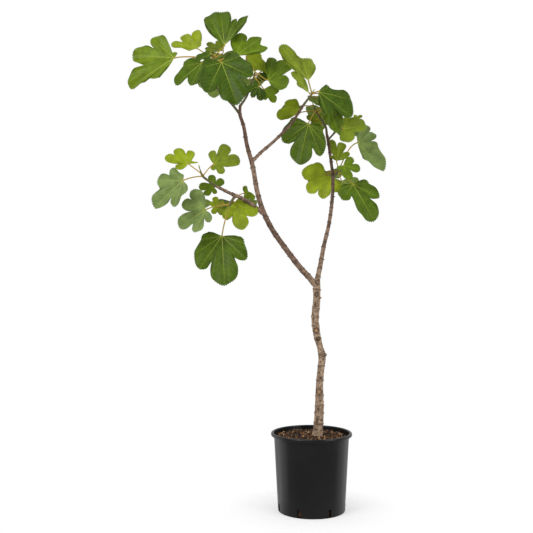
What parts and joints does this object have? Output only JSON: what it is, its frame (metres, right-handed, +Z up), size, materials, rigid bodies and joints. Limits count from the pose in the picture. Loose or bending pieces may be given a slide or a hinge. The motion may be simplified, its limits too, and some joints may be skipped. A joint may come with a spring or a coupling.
{
  "type": "fig tree in a pot",
  "caption": "Young fig tree with a forked trunk and loose clusters of lobed leaves, planted in a round black nursery pot.",
  "frame": {"origin": "centre of the flat underside of the pot", "axes": "+Z up, along the trunk; -Y towards the viewer, so -X is the left of the tree as seen from the front, the side that the longer limb leans to"},
  "size_m": [0.8921, 0.4646, 1.7319],
  "materials": {
    "pot_plastic": "black moulded plastic, dusty satin",
    "potting_mix": "loose brown bark chips and peat",
    "bark": "matt grey-brown bark with node rings",
    "foliage": "leathery green leaves on amber stalks"
  },
  "bodies": {
    "root": {"pot": "pot_plastic", "potting_mix": "potting_mix", "trunk": "bark", "bough_left": "bark", "bough_low": "bark", "bough_centre": "bark", "bough_right": "bark", "foliage_top_left": "foliage", "foliage_top_centre": "foliage", "foliage_centre": "foliage", "foliage_upper_right": "foliage", "foliage_right_upper": "foliage", "foliage_right_lower": "foliage", "foliage_low_left": "foliage", "foliage_low_under": "foliage"}
  },
  "joints": []
}
